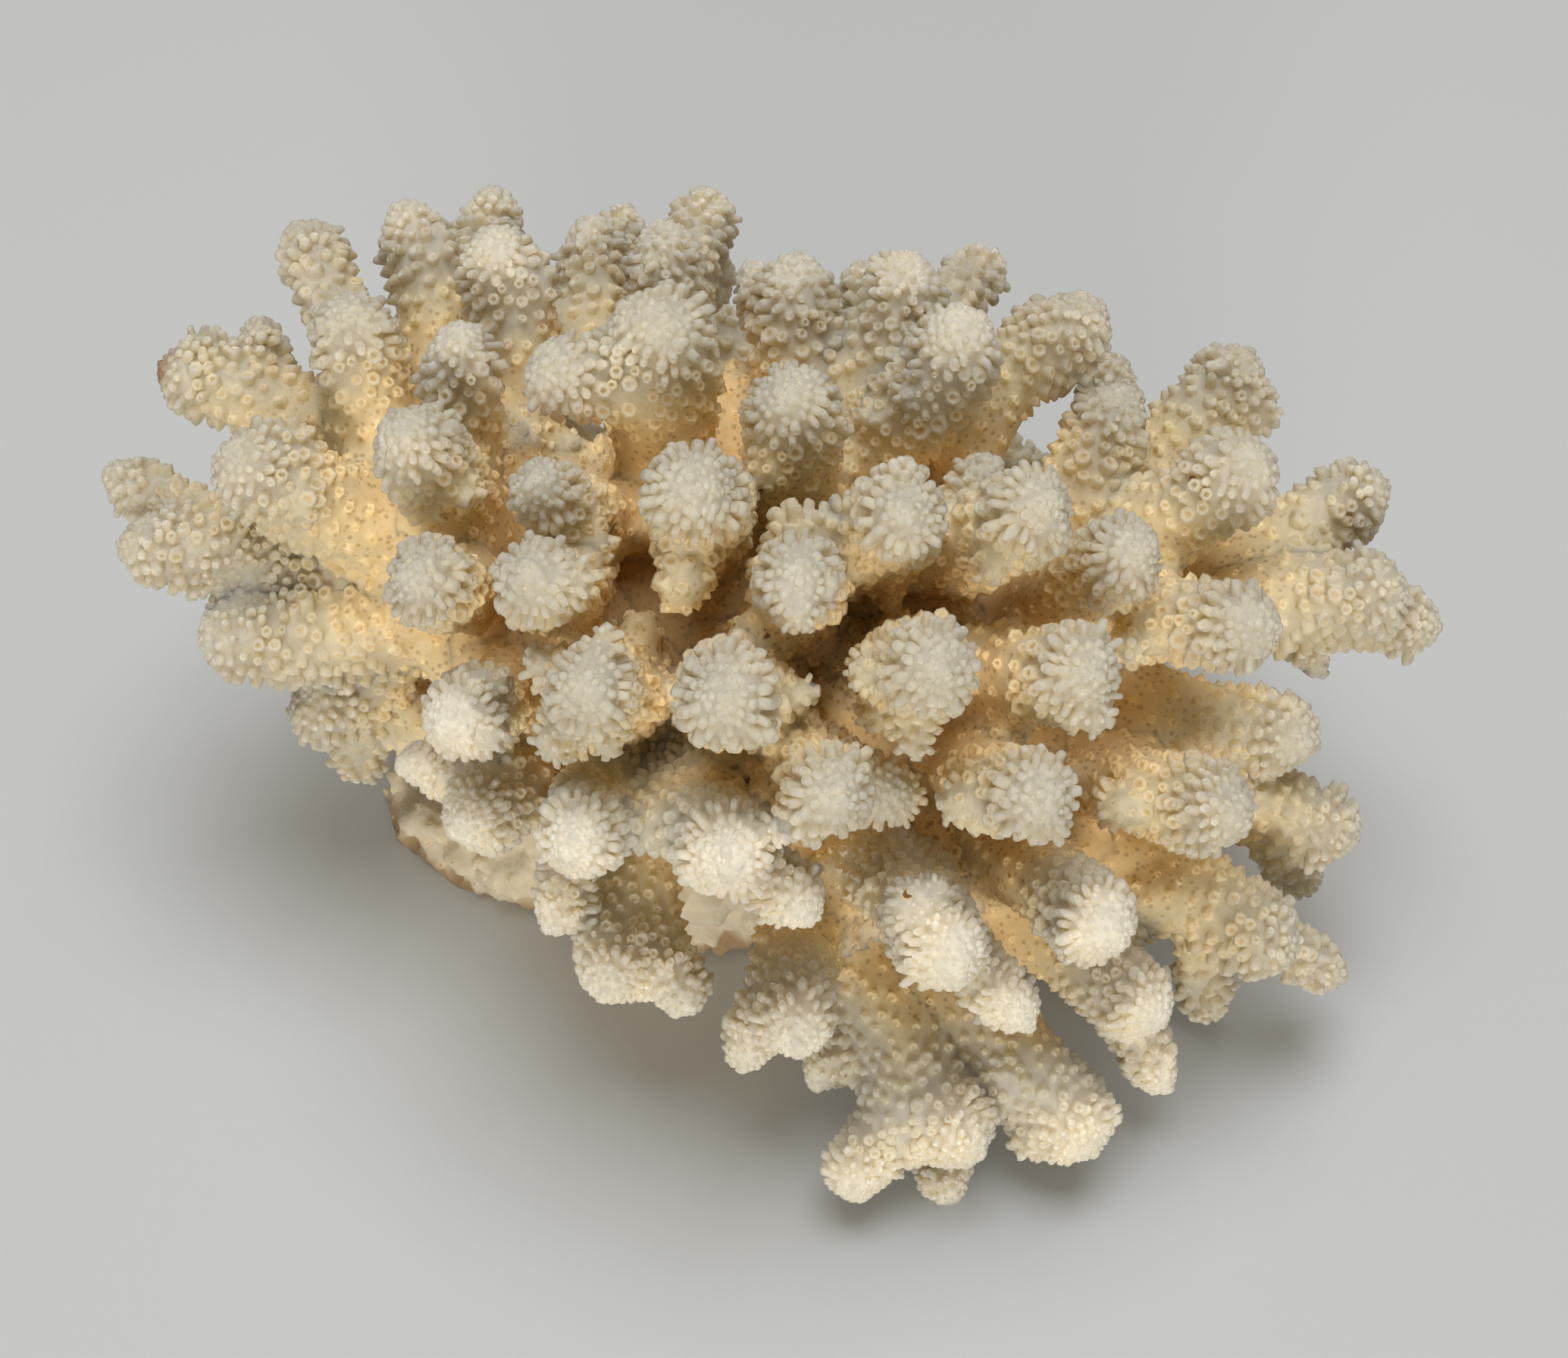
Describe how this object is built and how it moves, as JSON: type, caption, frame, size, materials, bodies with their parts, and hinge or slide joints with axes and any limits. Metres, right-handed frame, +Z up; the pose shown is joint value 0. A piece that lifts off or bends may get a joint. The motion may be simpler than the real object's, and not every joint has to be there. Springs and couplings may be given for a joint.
{
  "type": "finger coral",
  "caption": "Bleached stony coral colony: stubby fingers covered with tubular corallites fan out from a foot that is broken off flat, for display on a shelf or in a tank.",
  "frame": {"origin": "on the surface it rests on, under the middle of the colony's box", "axes": "+X along the colony's width, +Y away from the viewer of the picture, +Z up"},
  "size_m": [0.1838, 0.1326, 0.1029],
  "materials": {
    "finger": "matt, chalky, near white at the tips and cream to tan between the fingers",
    "foot": "matt, pitted, tan to brown"
  },
  "bodies": {
    "root": {"foot": "foot", "left_finger_1": "finger", "left_finger_2": "finger", "left_finger_3": "finger", "left_finger_4": "finger", "left_finger_5": "finger", "left_finger_6": "finger", "top_finger_1": "finger", "top_finger_2": "finger", "top_finger_3": "finger", "top_finger_4": "finger", "top_finger_5": "finger", "top_finger_6": "finger", "top_finger_7": "finger", "top_finger_8": "finger", "right_finger_1": "finger", "right_finger_2": "finger", "right_finger_3": "finger", "right_finger_4": "finger", "right_finger_5": "finger", "right_finger_6": "finger", "right_finger_7": "finger", "right_finger_8": "finger", "right_finger_9": "finger", "right_finger_10": "finger", "right_finger_11": "finger", "right_finger_12": "finger", "centre_finger_1": "finger", "centre_finger_2": "finger", "centre_finger_3": "finger", "centre_finger_4": "finger", "centre_finger_5": "finger", "centre_finger_6": "finger", "centre_finger_7": "finger", "centre_finger_8": "finger", "centre_finger_9": "finger", "centre_finger_10": "finger", "centre_finger_11": "finger", "centre_finger_12": "finger", "centre_finger_13": "finger", "centre_finger_14": "finger", "centre_finger_15": "finger", "centre_finger_16": "finger", "lower_finger_1": "finger", "lower_finger_2": "finger", "lower_finger_3": "finger", "lower_finger_4": "finger", "lower_finger_5": "finger", "lower_finger_6": "finger", "lower_finger_7": "finger", "lower_finger_8": "finger", "lower_finger_9": "finger", "lower_finger_10": "finger", "lower_finger_11": "finger", "lower_finger_12": "finger", "back_finger_1": "finger", "back_finger_2": "finger", "back_finger_3": "finger", "back_finger_4": "finger", "back_finger_5": "finger"}
  },
  "joints": []
}
